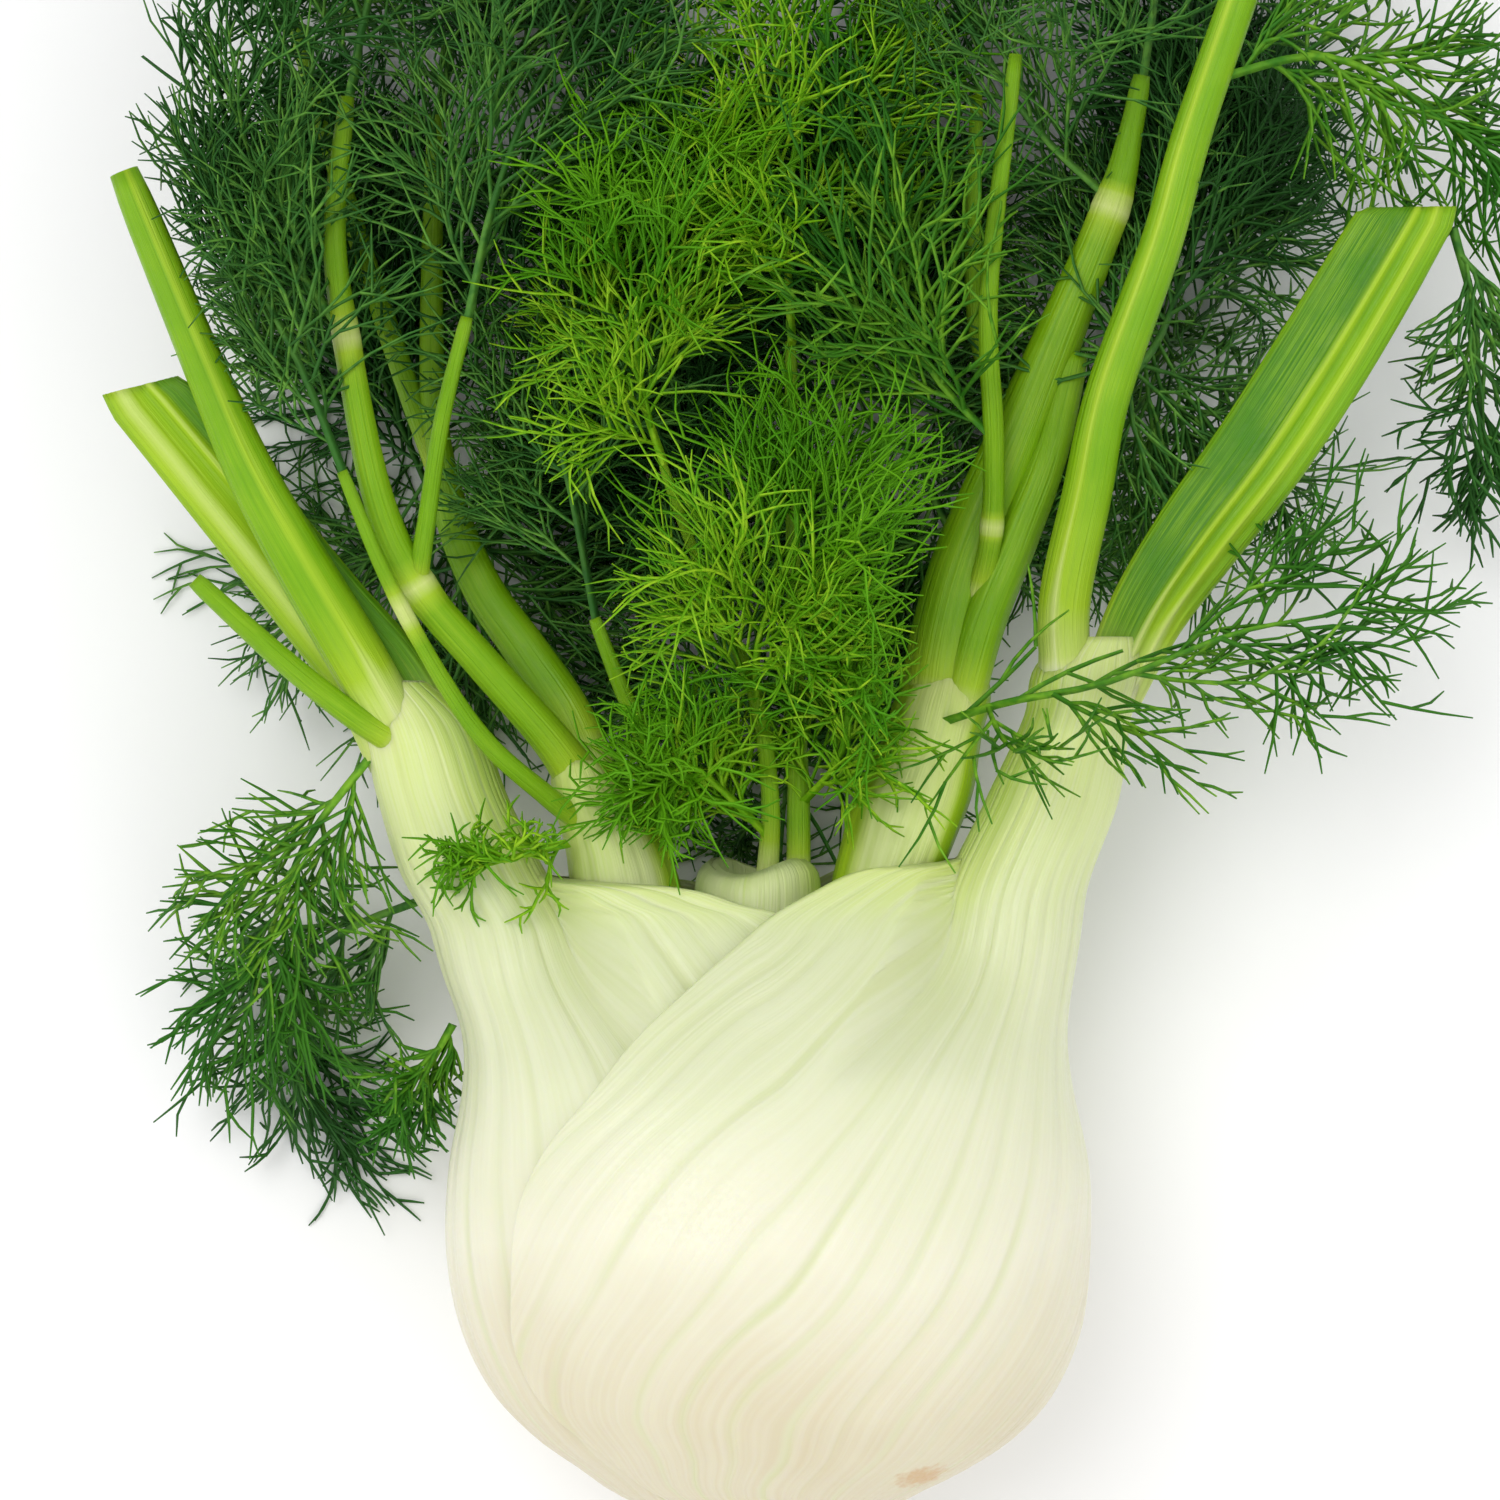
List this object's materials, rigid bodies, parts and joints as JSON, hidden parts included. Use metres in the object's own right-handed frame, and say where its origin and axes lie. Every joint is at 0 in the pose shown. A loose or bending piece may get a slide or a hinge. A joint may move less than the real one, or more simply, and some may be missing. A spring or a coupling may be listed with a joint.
{
  "type": "fennel bulb",
  "caption": "Whole fennel bulb lying on its back: white ribbed overlapping leaf sheaths, trimmed root end, cut green stalks and feathery green fronds.",
  "frame": {"origin": "middle of the small flat spot on the underside of the bulb, where it rests on a surface", "axes": "+Y from the root plate to the tips of the fronds, +Z up out of the front of the bulb, +X to the right in a view from above with +Y up"},
  "size_m": [0.2316, 0.2957, 0.0874],
  "materials": {
    "sheath_white": "satin, waxy, faintly see-through",
    "stalk_green": "satin, waxy",
    "root_tan": "dry, matt",
    "frond_dark": "soft, matt",
    "frond_mid": "soft, matt",
    "frond_bright": "soft, matt"
  },
  "bodies": {
    "root": {"root_plate": "root_tan", "leaf_right_outer": "sheath_white", "leaf_left_outer": "sheath_white", "leaf_inner_right": "stalk_green", "leaf_inner_left": "stalk_green", "leaf_centre": "sheath_white", "frond_left_top": "frond_dark", "frond_left_upper": "frond_dark", "frond_left_mid": "frond_dark", "frond_left_low": "frond_dark", "frond_left_back": "frond_dark", "frond_left_far": "frond_dark", "frond_left_inner": "frond_dark", "frond_centre_left": "frond_bright", "frond_centre_right": "frond_bright", "frond_centre_low": "frond_bright", "tuft_centre_left": "frond_bright", "tuft_centre_right": "frond_bright", "frond_right_top": "frond_dark", "frond_right_mid": "frond_dark", "frond_right_inner": "frond_mid", "spray_right_edge": "frond_mid", "spray_front": "frond_mid", "spray_left_droop": "frond_mid", "spray_left_low": "frond_dark", "tuft_left_petiole": "frond_bright", "fan_left_small": "frond_mid", "scrap_right_end": "frond_dark", "frond_back_left": "frond_dark", "frond_back_middle": "frond_dark", "frond_back_right": "frond_dark", "frond_back_edge": "frond_dark"}
  },
  "joints": []
}
